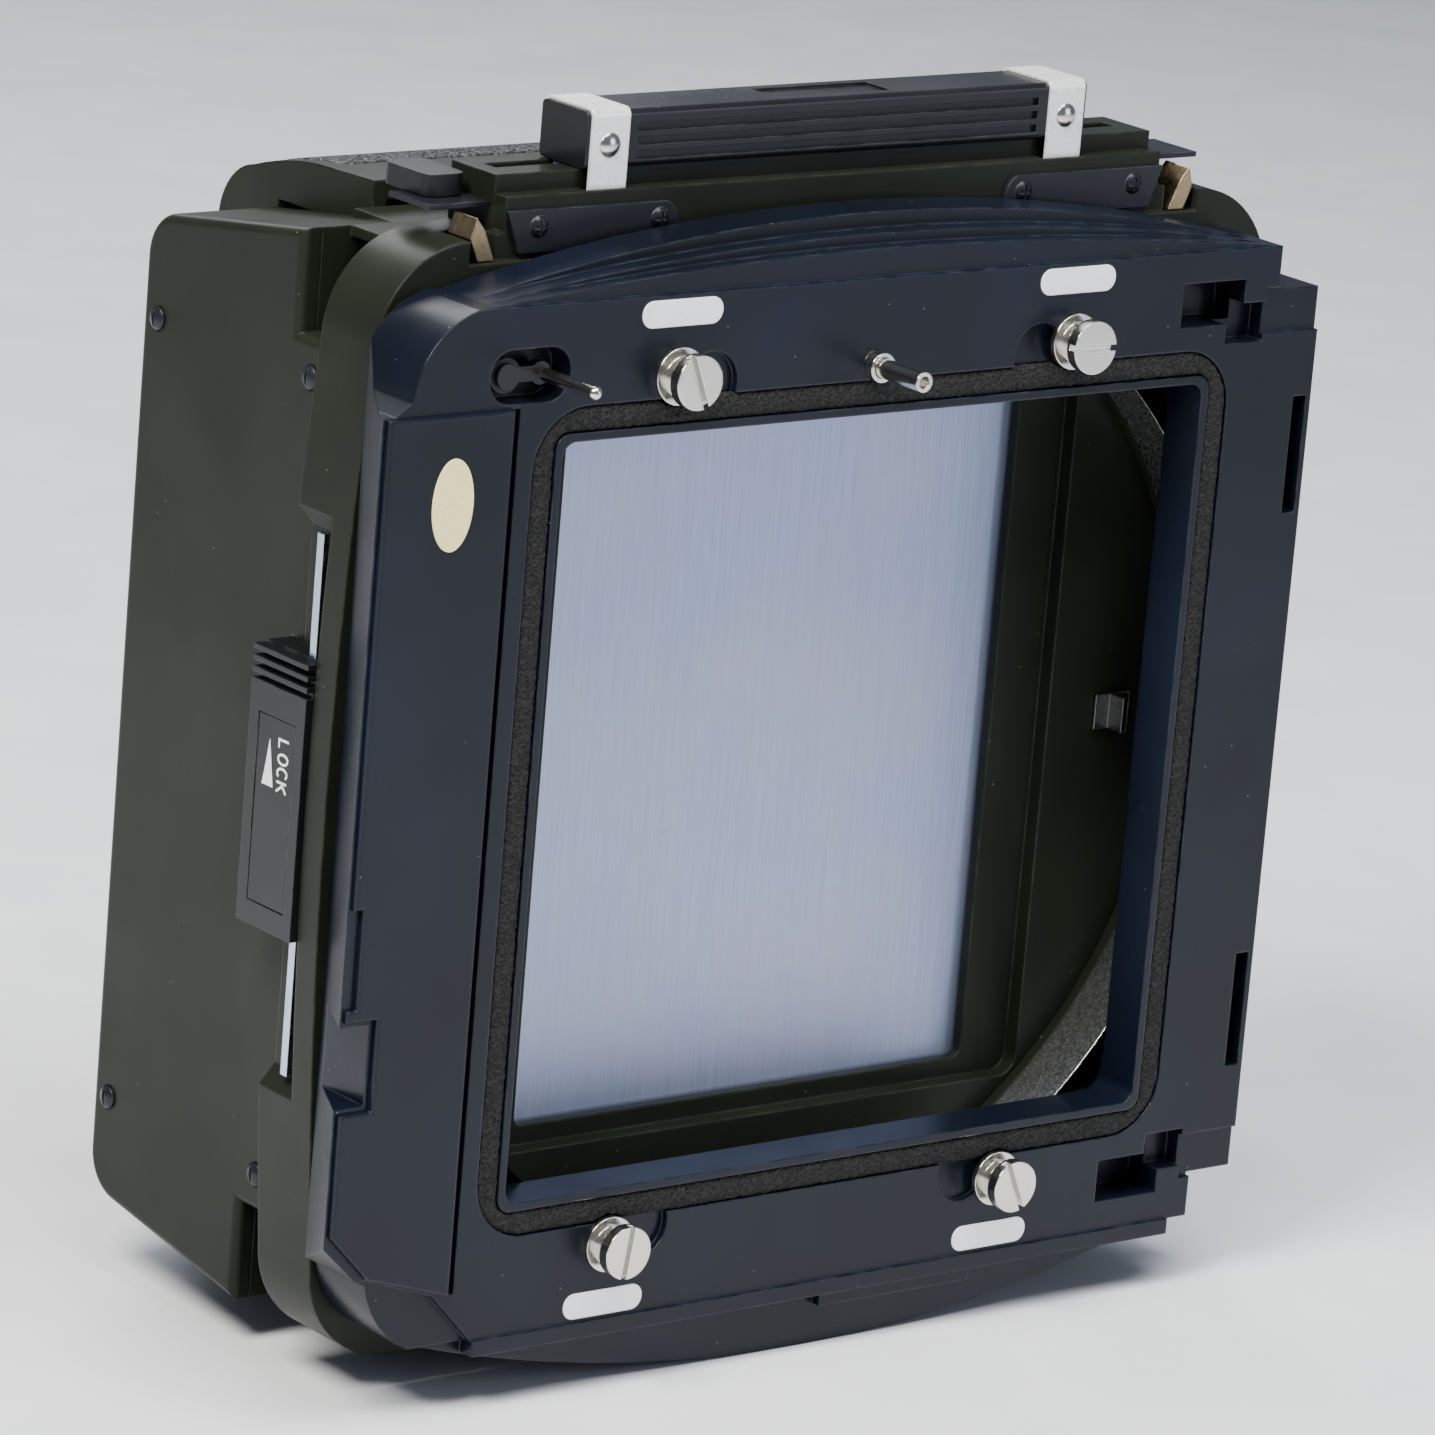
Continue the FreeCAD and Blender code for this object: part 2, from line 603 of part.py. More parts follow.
def covers():
    """Side covers with the lock grooves, screws, counter window."""
    for s, side in ((-1, "left"), (1, "right")):
        start = mag_half_w if s > 0 else -mag_half_w - cover_t
        plate = slab("YZ", case_outline(), start, start + cover_t)
        outer = (mag_half_w + cover_t).value * s
        plate = round_edges(plate, 0.9, lambda e: abs(e.BoundBox.XMin - outer) < 1e-6
                            and abs(e.BoundBox.XMax - outer) < 1e-6)
        lo, hi = (51, 60) if s > 0 else (-60, -51)
        tools = [box(lo, hi, 20, 22.2, -4.2, 13), box(lo, hi, 18, 22.2, -4.2, 4)]
        screws = []
        for y in (22.5, 48.2):
            for z in (-39.3, 39.3):
                tools.append(cyl("X", mag_half_w * s - (0 if s > 0 else 5), y, z, 1.15, 5))
                head = common(ball((mag_half_w + 0.9) * s, y, z, 1.75),
                              cyl("X", mag_half_w * s - (0 if s > 0 else 4), y, z, 1.15, 4))
                x0 = mag_half_w * s + (2.35 if s > 0 else -3.35)
                screws.append(cut(head, box(x0, x0 + 1, y - 0.15, y + 0.15, z - 0.8, z + 0.8)))
        if s > 0:
            tools.append(cyl("X", 49, spool_y, spool_z, pivot_r + spin_fit, 8))
            tools.append(cyl("X", 49, dial_y, dial_z - 8.5, 2.5, 8))
        node("side_cover_" + side, cut(plate, *tools))
        node("side_cover_screws_" + side, group(*screws))
    node("counter_window", cyl("X", mag_half_w, dial_y, dial_z - 8.5, 2.5, 1.6))


def top_fittings():
    """Brackets, lugs, latch tab, selector knob and light-trap felts."""
    lip_front = frame_front + 1
    screws = []
    for s, side in ((-1, "left"), (1, "right")):
        low, high = crown - 3.6, crown + 0.5
        if s > 0:
            points = [(21.5, low), (38.6, low), (40.1, high), (21.5, high, 2.2)]
        else:
            points = [(-38.6, low), (-21.5, low, 2.2), (-21.5, high), (-40.1, high)]
        plate = slab("XZ", points, lip_front - 0.5, lip_front)
        z = crown - 1.1
        holes = [cyl("Y", x * s, 8, z, 0.8, 8) for x in (22.3, 36.4)]
        node("slot_bracket_" + side, cut(plate, *holes))
        for x in (22.3, 36.4):
            head = common(ball(x * s, lip_front + 0.3, z, 1.35),
                          cyl("Y", x * s, lip_front - 1, z, 1.2, 0.5))
            screw = fuse(head, cyl("Y", x * s, lip_front - 0.55, z, 0.78, 0.55))
            cross = fuse(
                box(x * s - 0.15, x * s + 0.15, 8, lip_front - 0.75, z - 0.7, z + 0.7),
                box(x * s - 0.7, x * s + 0.7, 8, lip_front - 0.75, z - 0.15, z + 0.15))
            screws.append(cut(screw, cross))
    node("bracket_screws", group(*screws))
    outline = [(41.3, crown - 4.1), (43.2, crown - 4.1), (44.2, crown - 1.9),
               (43.6, crown + 0.1), (42.6, crown - 1.1)]
    lugs = [slab("XZ", [(x * s, z) for x, z in outline],
                 frame_front + 0.5, frame_front + 4.1) for s in (1, -1)]
    node("brass_lugs", group(*lugs))
    posts = [box(x, x + 7, 13, 19.5, crown + 0.4, crown + 0.9) for x in (-47, 40)]
    node("ear_plates", group(*posts))
    tab = round_edges(box(-45.5, -41, 15.5, 23, crown + 1, crown + 3.1), 1.2, along("Z"))
    node("door_latch", tab)
    node("film_selector_knob", fuse(cyl("Z", 45.5, 28.3, 53, 3, 3), cyl("Z", 45.5, 28.3, 55.9, 2.5, 0.6)))
    felts = [box(-slide_half, slide_half, y, y + 0.4, crown - 6.5, crown - 0.5)
             for y in (slot_front, slot_front + slot_w - 0.4)]
    node("slot_felts", group(*felts))


def dark_slide():
    """Sheet, handle bar, straps and rivets: all drawn out together."""
    y = slot_front + (slot_w - slide_t) / 2
    base = block_top + 0.1
    top = base + handle_h
    node("dark_slide", box(-slide_half, slide_half, y, y + slide_t, -38.3, base + 2))
    bar = round_edges(box(-handle_half, handle_half, 11.5, 18.7, base, top), 0.6, along("X"))
    tools = [box(-slide_half, slide_half, y, y + slide_t, base - 1, base + 2)]
    for i in range(3):
        z = base + 0.7 + i * 1.35
        tools.append(box(-24.5, 24.5, 10, 11.95, z, z + 0.8))
    tools.append(slab("XY", [(-7, 13), (7, 13), (7, 17), (-7, 17)], top - 0.3, top + 1))
    node("slide_handle", cut(bar, *tools))
    straps, rivets = [], []
    for s in (-1, 1):
        x1, x2 = 27.9 * s - 2.2, 27.9 * s + 2.2
        shell = round_edges(box(x1, x2, 11.2, 19, base + 0.9, top + 0.3), 0.8, along("X"))
        strap = cut(shell, round_edges(box(x1 - 1, x2 + 1, 11.5, 18.7, base - 3, top), 0.6,
                                       along("X")))
        straps.append(fuse(strap, box(x1, x2, 11.2, 11.5, crown + 0.5, base + 2)))
        rivets.append(common(ball(27.9 * s, 12.7, base + 2.3, 1.95),
                             cyl("Y", 27.9 * s, 10, base + 2.3, 1.2, 1.2)))
    node("handle_straps", group(*straps))
    node("handle_rivets", group(*rivets))


def rear_door():
    """Wrap-round door on its hinge pin, with leatherette and memo holder."""
    outer = [(31.6, -base_drop), (44, -base_drop), (51.5, -53, 6.5), (57, -46.5), (door_back, 0),
             (57, 46.5, 6.5), (51.5, 53, 40), (38.9, 55.3), (31.6, 55.5)]
    inner = [(30, -base_drop + door_t), (43.4, -base_drop + door_t), (50.9, -51, 4.5), (55, -46.2),
             (door_back - door_t, 0), (55, 46.2, 4.5), (50.9, 51), (38.7, 53.3), (30, 53.5)]
    t = 1.6
    shell = cut(slab("YZ", outer, -door_half, door_half),
                slab("YZ", inner, -door_half + t, door_half - t),
                box(-50, 50, 30, 47, -50.5, 50.5))
    shell = cut(shell, box(-50, 50, 30, 47, -base_drop + door_t + 0.1, -50))
    knuckle = fuse(cyl("X", -25, hinge_y, hinge_z, 2.2, 50),
                   box(-25, 25, hinge_y, 31.7, hinge_z - 2.2, hinge_z - 0.2))
    solid = cut(fuse(shell, knuckle), cyl("X", -40, hinge_y, hinge_z, 1.2 + spin_fit, 80))
    node("rear_door", solid)
    edge = 57 + (door_back - 57) * 0.0323
    node("door_covering", slab("YZ", [(edge, -45), (edge + 0.4, -45), (door_back + 0.4, 0),
                                      (edge + 0.4, 45), (edge, 45), (door_back, 0)], -38, 38))
    node("door_hinge_pin", cyl("X", -37, hinge_y, hinge_z, 1.2, 74))
    memo = [box(-26, 26, door_back + 0.45, door_back + 0.9, -4, 4)]
    node("memo_holder", group(*memo))


# --- film path ---------------------------------------------------------------

def insert():
    """Removable film frame with pressure plate, rollers and spools."""
    for_side = []
    for s in (-1, 1):
        lo, hi = (insert_half - 1.4, insert_half) if s > 0 else (-insert_half, 1.4 - insert_half)
        side = box(lo, hi, 20, 48, -50, 50)
        x0 = lo - 1
        holes = [cyl("X", x0, spool_y, -spool_z, pivot_r, 4),
                 cyl("X", x0, spool_y, spool_z, pivot_r if s < 0 else pivot_r + spin_fit, 4)]
        holes += [cyl("X", x0, 23, z, 1.2 + spin_fit, 4) for z in (-40, 40)]
        holes.append(box(x0, x0 + 4, 27, 50, -20, 20))
        for_side.append(cut(side, *holes))
    rail = [box(1.4 - insert_half, insert_half - 1.4, 20, 26.5, z, z + 1.2) for z in (-50, 48.8)]
    bridge = box(0.4 - insert_half + 1, insert_half - 1.4, 25.6, 26.8, -16, 16)
    node("insert_frame", fuse(*(for_side + rail + [bridge])))
    node("pressure_plate", round_edges(box(-30, 30, 20.8, 22, -35.5, 35.5), 1, along("Y")))
    springs = [slab("YZ", [(22, -20), (22.3, -20), (24.9, 0), (22.3, 20), (22, 20), (24.6, 0)],
                    x, x + 6) for x in (-18, 12)]
    node("pressure_springs", group(*springs))
    for z, name in ((-40, "lower"), (40, "upper")):
        roller = fuse(cyl("X", -33, 23, z, 2.8, 66), cyl("X", -37.3, 23, z, 1.2, 74.6))
        node("guide_roller_" + name, roller)


def spool(label, z):
    """Turned film spool: core, two flanges, bore."""
    core, bore = 5.5, pivot_r + spin_fit
    half = spool_half
    profile = [(bore, -half), (spool_r, -half), (spool_r, -half + 1), (core, -half + 1),
               (core, half - 1), (spool_r, half - 1), (spool_r, half), (bore, half)]
    return node(label, lathe(profile, "X", 0, spool_y, z))


def gear(label, teeth, x, width, y, z, turn, bore):
    """Straight-toothed wheel drawn tooth by tooth from its module."""
    m = gear_module.value
    pitch = m * teeth / 2
    points = []
    for i in range(teeth):
        centre = turn + 2 * math.pi * i / teeth
        for radius, half in ((pitch - 1.2 * m, 0.29), (pitch, 0.225), (pitch + 0.9 * m, 0.10)):
            points.append((radius, centre - half * math.pi * m / pitch))
        for radius, half in ((pitch + 0.9 * m, 0.10), (pitch, 0.225), (pitch - 1.2 * m, 0.29)):
            points.append((radius, centre + half * math.pi * m / pitch))
    wire = Part.makePolygon([V(x, y + r * math.cos(a), z + r * math.sin(a))
                             for r, a in points + points[:1]])
    solid = Part.Face(wire).extrude(V(width, 0, 0))
    solid = solid.cut(Part.makeCylinder(bore, width * 3, V(x - width, y, z), V(1, 0, 0)))
    obj = doc.addObject("Part::Feature", "wheel")
    obj.Shape = solid
    return node(label, obj)


def winding():
    """Lever, shaft and gears that wind the film and turn the counter."""
    y, z = spool_y.value, spool_z.value
    shaft = cyl("X", spool_half - 5, spool_y, spool_z, pivot_r, 56 - spool_half + 5)
    node("drive_shaft", shaft)
    pins = [cyl("X", -insert_half, spool_y, pz, pivot_r, insert_half - spool_half + 5)
            for pz in (-spool_z, spool_z)]
    pins.append(cyl("X", spool_half - 5, spool_y, -spool_z, pivot_r, 10.2))
    node("spool_pivots", group(*pins))
    lean = math.atan2(dial_z - z, dial_y - y)
    gear("shaft_gear", PINION_TEETH, 43.8, 2.4, y, z, lean, pivot_r.value)
    gear("counter_gear", DIAL_TEETH, 44, 2, dial_y, dial_z,
         lean + math.pi + math.pi / DIAL_TEETH, 1.5 + spin_fit.value)
    node("counter_post", cyl("X", case_in + wall, dial_y, dial_z, 1.5, 5.4))
    node("counter_dial", cut(cyl("X", 46.5, dial_y, dial_z, 11.5, 1),
                             cyl("X", 46, dial_y, dial_z, 1.5 + spin_fit, 3)))
    hub = cyl("X", 52.6, spool_y, spool_z, 6.5, 3)
    arm = slab("YZ", [(y - 3, z), (40.4, 12, 3), (46.2, 12), (y + 3, z)], 53.6, 55.2)
    grip = cyl("X", 55, 43.3, 12.4, 2.2, 2)
    lever = cut(fuse(hub, arm, grip), cyl("X", 50, spool_y, spool_z, pivot_r, 8))
    node("advance_lever", lever)


front_plate()
plate_trim()
plate_movers()
bearing()
revolving_frame()
locks()
housing()
covers()
top_fittings()
dark_slide()
rear_door()
insert()
spool("supply_spool", -spool_z)
spool("take_up_spool", spool_z)
winding()

doc.recompute()
os.makedirs("parts", exist_ok=True)
for label, obj in nodes:
    bad = [s for s in obj.State if s in ("Invalid", "Error")]
    shape = obj.Shape
    if bad or shape.isNull() or not shape.isValid():
        raise RuntimeError("%s did not build: %s" % (label, obj.State))
    shape.exportStep("parts/%s.step" % label)
    bb = shape.BoundBox
    print("%-24s solids %d  x %.1f..%.1f y %.1f..%.1f z %.1f..%.1f" % (
        label, len(shape.Solids), bb.XMin, bb.XMax, bb.YMin, bb.YMax, bb.ZMin, bb.ZMax))
print(len(nodes), "nodes")
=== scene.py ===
# %% [markdown]
# # A roll film holder on its revolving adapter
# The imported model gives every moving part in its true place. This lesson dresses it: each
# part gets the finish of the real one, and the fine surfaces that a machinist's model
# leaves out, such as the foam light seal and the pebbled covering, are worked out here.

# %% Load the frame
import bpy
import math
import numpy as np
from mathutils import Matrix, Vector


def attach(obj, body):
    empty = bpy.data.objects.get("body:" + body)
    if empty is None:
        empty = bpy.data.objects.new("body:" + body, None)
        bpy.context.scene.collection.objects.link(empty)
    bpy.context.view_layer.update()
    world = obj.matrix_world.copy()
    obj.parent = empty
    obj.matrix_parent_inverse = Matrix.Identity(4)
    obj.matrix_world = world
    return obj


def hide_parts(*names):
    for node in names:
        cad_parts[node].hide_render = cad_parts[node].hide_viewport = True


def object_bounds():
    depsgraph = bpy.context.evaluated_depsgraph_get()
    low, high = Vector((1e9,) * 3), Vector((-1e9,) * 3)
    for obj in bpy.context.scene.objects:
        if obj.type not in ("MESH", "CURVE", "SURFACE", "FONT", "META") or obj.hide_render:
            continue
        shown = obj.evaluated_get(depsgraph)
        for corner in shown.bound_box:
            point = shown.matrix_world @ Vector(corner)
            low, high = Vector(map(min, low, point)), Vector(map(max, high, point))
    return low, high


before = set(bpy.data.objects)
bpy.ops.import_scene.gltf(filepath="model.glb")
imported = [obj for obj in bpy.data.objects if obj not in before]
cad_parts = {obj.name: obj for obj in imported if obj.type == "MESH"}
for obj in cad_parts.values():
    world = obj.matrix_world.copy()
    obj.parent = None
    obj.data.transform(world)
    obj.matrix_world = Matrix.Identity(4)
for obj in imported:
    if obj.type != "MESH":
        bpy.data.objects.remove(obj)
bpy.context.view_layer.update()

MM = 0.001
print("frame loaded:", len(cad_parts), "parts")

# %% [markdown]
# ## Two small tools
# A material is a little network. One function adds a node, sets its values and makes its
# links, so each finish below reads as a recipe. Colours are written the way a paint chip
# is read, as sRGB hex, and one function turns them into linear light.


# %% Colour and node helpers
def colour(code):
    """sRGB hex to linear light: each channel c goes to ((c + 0.055) / 1.055) ** 2.4,
    or to c / 12.92 in the dark end."""
    parts = [int(code[i:i + 2], 16) / 255 for i in (1, 3, 5)]
    linear = [c / 12.92 if c <= 0.04045 else ((c + 0.055) / 1.055) ** 2.4 for c in parts]
    return (*linear, 1.0)


def add(tree, kind, values=None, links=None, stops=None, **settings):
    """Add one node: settings are its properties, values go on its input sockets, links
    come from other sockets (a node stands for its first output), and stops are the
    (position, grey or colour) steps of a ramp."""
    n = tree.nodes.new(kind)
    for key, value in settings.items():
        setattr(n, key, value)
    for key, value in (values or {}).items():
        n.inputs[key].default_value = value
    for key, source in (links or {}).items():
        tree.links.new(getattr(source, "outputs", [source])[0], n.inputs[key])
    if stops:
        steps = n.color_ramp.elements
        while len(steps) < len(stops):
            steps.new(0.5)
        for step, (spot, value) in zip(steps, stops):
            step.position = spot
            step.color = value if isinstance(value, tuple) else (value, value, value, 1.0)
    return n


def begin(name):
    """A new material: itself, its tree, its shader, and object coordinates in mm."""
    m = bpy.data.materials.new(name)
    m.use_nodes = True
    t = m.node_tree
    where = add(t, "ShaderNodeTexCoord").outputs["Object"]
    mm = add(t, "ShaderNodeVectorMath", {1: (1000, 1000, 1000)}, {0: where},
             operation="MULTIPLY")
    return m, t, t.nodes["Principled BSDF"], mm


print("tools ready")

# %% [markdown]
# ## Enamel and moulded black
# The plate and shells are die-cast alloy under satin black enamel, and the grips are
# moulded ABS. Both lie slightly rippled, and handling polishes them unevenly, so the
# roughness changes in soft patches. Corners are rounded to the eye with a bevelled normal;
# comparing it with the flat one picks out the corners, which are painted lighter: partly
# worn paint, partly a painted edge highlight.


# %% Black finishes
def black_finish(name, base, light, rough, ripple=0.9, depth=0.02, edge=0.35,
                 edge_highlight_and_wear="#5c626c", dust=0.5, shine=0.3):
    """Two-tone patches, a fine ripple, painted edge highlight with wear, and a few dust specks.
    Ripple is the width of one wave in mm and depth its height in mm."""
    m, t, shader, mm = begin(name)
    patches = add(t, "ShaderNodeTexNoise", {"Scale": 1 / 22, "Detail": 3.0}, {"Vector": mm})
    body = add(t, "ShaderNodeValToRGB", None, {"Fac": patches},
               [(0.3, colour(base)), (0.75, colour(light))])
    rounded = add(t, "ShaderNodeBevel", {"Radius": edge * MM}, samples=6)
    flat = add(t, "ShaderNodeNewGeometry").outputs["Normal"]
    same = add(t, "ShaderNodeVectorMath", None, {0: rounded, 1: flat},
               operation="DOT_PRODUCT").outputs["Value"]
    # Painted edge highlight, partly real wear: where the bevelled and flat normals part, the
    # corner is lightened towards the edge colour, broken up by noise.
    corner = add(t, "ShaderNodeValToRGB", None, {"Fac": same}, [(0.82, 0.6), (0.985, 0.0)])
    broken = add(t, "ShaderNodeTexNoise", {"Scale": 1 / 2.4, "Detail": 6.0}, {"Vector": mm})
    broken = add(t, "ShaderNodeValToRGB", None, {"Fac": broken}, [(0.42, 0.0), (0.62, 1.0)])
    wear_and_highlight = add(t, "ShaderNodeMath", None, {0: corner, 1: broken}, operation="MULTIPLY")
    cells = add(t, "ShaderNodeTexVoronoi", {"Scale": 0.34}, {"Vector": mm})
    specks = add(t, "ShaderNodeValToRGB", None, {"Fac": cells}, [(0.018, dust), (0.034, 0.0)])
    tone = add(t, "ShaderNodeMix", {7: colour(edge_highlight_and_wear)}, {0: wear_and_highlight, 6: body}, data_type="RGBA")
    tone = add(t, "ShaderNodeMix", {7: colour("#9a958a")}, {0: specks, 6: tone.outputs[2]},
               data_type="RGBA")
    t.links.new(tone.outputs[2], shader.inputs["Base Color"])
    smudge = add(t, "ShaderNodeTexNoise", {"Scale": 1 / 9, "Detail": 5.0}, {"Vector": mm})
    spread = add(t, "ShaderNodeValToRGB", None, {"Fac": smudge},
                 [(0.3, rough - 0.05), (0.75, rough + 0.07)])
    t.links.new(spread.outputs[0], shader.inputs["Roughness"])
    peel = add(t, "ShaderNodeTexNoise", {"Scale": 1 / ripple, "Detail": 2.0}, {"Vector": mm})
    bump = add(t, "ShaderNodeBump", {"Strength": 0.4, "Distance": depth * MM},
               {"Height": peel, "Normal": rounded})
    t.links.new(bump.outputs[0], shader.inputs["Normal"])
    shader.inputs["Specular IOR Level"].default_value = shine
    return m


# The blue in the sprayed enamel's tones and lighter edges is painted reflection of blue
# surroundings; the enamel itself is black.
enamel = black_finish("satin_enamel_sprayed", "#070b14", "#0e1523", 0.31, edge=0.3,
                      edge_highlight_and_wear="#3a414d", shine=0.24)
shell_enamel = black_finish("satin_enamel_shell", "#161913", "#21251d", 0.36, shine=0.13,
                            edge=0.35, edge_highlight_and_wear="#3d4037")
abs_black = black_finish("abs_moulded_black", "#101113", "#191b1e", 0.30, ripple=0.4,
                         depth=0.008, edge=0.12)
coated_steel = black_finish("coated_sheet_steel", "#101216", "#1b1e24", 0.32, edge=0.15)
inner_black = black_finish("matt_baffle_paint", "#090a0c", "#101214", 0.55, ripple=0.3,
                           depth=0.03, dust=0.25)
print("black finishes:", enamel.name, shell_enamel.name, abs_black.name)

# %% [markdown]
# ## Bare metals
# Studs and pins are turned steel, straps and contacts are rolled and lightly scratched,
# the bearing ring is turned aluminium, and the dark slide is stainless steel brushed
# from top to bottom. What the eye reads is the direction of the marks: noise is stretched
# along the stroke, so it changes fast across it and slowly along it.


# %% Metal finishes
def metal_finish(name, base, light, rough, stroke=(1, 1, 1), grit=0.25, depth=0.004,
                 smudge=0.12, edge=0.2, metal=1.0, front=None):
    """Metal with marks about grit mm apart, drawn out by the stroke scale of each axis.
    Front, if given, is the colour of the faces square to the turning axis."""
    m, t, shader, mm = begin(name)
    run = add(t, "ShaderNodeMapping", {"Scale": stroke}, {"Vector": mm})
    marks = add(t, "ShaderNodeTexNoise", {"Scale": 1 / grit, "Detail": 5.0,
                                          "Roughness": 0.7}, {"Vector": run})
    tone = add(t, "ShaderNodeValToRGB", None, {"Fac": marks},
               [(0.3, colour(base)), (0.72, colour(light))])
    stain = add(t, "ShaderNodeTexNoise", {"Scale": 1 / 5, "Detail": 6.0}, {"Vector": mm})
    stain = add(t, "ShaderNodeValToRGB", None, {"Fac": stain}, [(0.5, 0.0), (0.72, smudge)])
    tone = add(t, "ShaderNodeMix", {7: colour("#3c3a37")}, {0: stain, 6: tone},
               data_type="RGBA")
    if front:
        facing = add(t, "ShaderNodeSeparateXYZ", None,
                     {0: add(t, "ShaderNodeNewGeometry").outputs["Normal"]}).outputs["Y"]
        facing = add(t, "ShaderNodeMath", None, {0: facing}, operation="ABSOLUTE")
        facing = add(t, "ShaderNodeValToRGB", None, {"Fac": facing}, [(0.6, 0.0), (0.8, 1.0)])
        tone = add(t, "ShaderNodeMix", {7: colour(front)}, {0: facing, 6: tone.outputs[2]},
                   data_type="RGBA")
    t.links.new(tone.outputs[2], shader.inputs["Base Color"])
    shader.inputs["Metallic"].default_value = metal
    spread = add(t, "ShaderNodeValToRGB", None, {"Fac": marks},
                 [(0.3, rough - 0.06), (0.75, rough + 0.08)])
    t.links.new(spread.outputs[0], shader.inputs["Roughness"])
    rounded = add(t, "ShaderNodeBevel", {"Radius": edge * MM}, samples=6)
    bump = add(t, "ShaderNodeBump", {"Strength": 0.5, "Distance": depth * MM},
               {"Height": marks, "Normal": rounded})
    t.links.new(bump.outputs[0], shader.inputs["Normal"])
    return m


turned_steel = metal_finish("steel_turned_bright", "#cbc8bf", "#e2dfd6", 0.19, grit=0.22,
                            depth=0.002, smudge=0.04)
rolled_steel = metal_finish("steel_rolled_plain", "#5f605f", "#7f8080", 0.33, grit=0.5)
rail_steel = metal_finish("steel_rail_polished", "#a9b2c4", "#cdd4e2", 0.24, (1, 1, 0.1),
                          grit=0.3, smudge=0.05)
# The ovals and straps are bright plated metal, whitened further and made mostly non-metallic as
# a painted reflection of a broad lamp.
white_contact = metal_finish("nickel_contact_scratched", "#eef0f4", "#ffffff", 0.45,
                             (1, 1, 6), grit=0.8, smudge=0.15, metal=0.15)
strap_steel = metal_finish("nickel_strap_rolled", "#dcdedf", "#fbfbfa", 0.30, grit=0.7,
                           smudge=0.15, metal=0.35)
ring_alloy = metal_finish("aluminium_turned", "#c2c5c4", "#e4e6e2", 0.26, grit=0.4,
                          front="#08090a", smudge=0.03, depth=0.002)
brass_tone = metal_finish("brass_worn_lug", "#8d7a5c", "#b8a582", 0.32, grit=0.5)
gear_brass = metal_finish("brass_cut_gear", "#9c7f3e", "#c4a55c", 0.28, grit=0.4)
memo_alloy = metal_finish("aluminium_brushed_holder", "#85878a", "#aaacae", 0.33,
                          (0.05, 1, 1), grit=0.25, smudge=0.08)
dark_anodised = metal_finish("aluminium_black_anodised", "#17181a", "#2b2d30", 0.38,
                             grit=0.5, smudge=0.05)
print("metals:", turned_steel.name, strap_steel.name, ring_alloy.name)

# %% [markdown]
# ## The dark slide
# A dark slide is a stainless sheet that keeps light off the film. Its brushing is long
# vertical strokes about 0.15 mm apart, and years of drawing it through felt leave pale
# hazy bands and small dark rub marks; they also dull its lower edge, which is not drawn here.


# %% Brushed stainless
def brushed_slide():
    """Long vertical strokes, hazy patches and a few dark smudges."""
    m, t, shader, mm = begin("stainless_brushed_slide")
    run = add(t, "ShaderNodeMapping", {"Scale": (1, 1, 0.02)}, {"Vector": mm})
    strokes = add(t, "ShaderNodeTexNoise", {"Scale": 1 / 0.16, "Detail": 4.0,
                                            "Roughness": 0.6}, {"Vector": run})
    tone = add(t, "ShaderNodeValToRGB", None, {"Fac": strokes},
               [(0.25, colour("#8b96b4")), (0.78, colour("#a6b0cc"))])
    haze = add(t, "ShaderNodeTexNoise", {"Scale": 1 / 18, "Detail": 4.0}, {"Vector": mm})
    haze = add(t, "ShaderNodeValToRGB", None, {"Fac": haze}, [(0.4, 0.0), (0.72, 0.45)])
    tone = add(t, "ShaderNodeMix", {7: colour("#aba8b0")}, {0: haze, 6: tone},
               data_type="RGBA")
    rub = add(t, "ShaderNodeTexNoise", {"Scale": 1 / 4.5, "Detail": 8.0, "Roughness": 0.72},
              {"Vector": mm})
    rub = add(t, "ShaderNodeValToRGB", None, {"Fac": rub}, [(0.665, 0.0), (0.74, 0.4)])
    tone = add(t, "ShaderNodeMix", {7: colour("#565a66")}, {0: rub, 6: tone.outputs[2]},
               data_type="RGBA")
    t.links.new(tone.outputs[2], shader.inputs["Base Color"])
    shader.inputs["Metallic"].default_value = 0.7
    spread = add(t, "ShaderNodeValToRGB", None, {"Fac": strokes}, [(0.3, 0.40), (0.75, 0.52)])
    t.links.new(spread.outputs[0], shader.inputs["Roughness"])
    bump = add(t, "ShaderNodeBump", {"Strength": 0.35, "Distance": 0.004 * MM},
               {"Height": strokes})
    t.links.new(bump.outputs[0], shader.inputs["Normal"])
    return m


slide_steel = brushed_slide()
print("dark slide:", slide_steel.name)
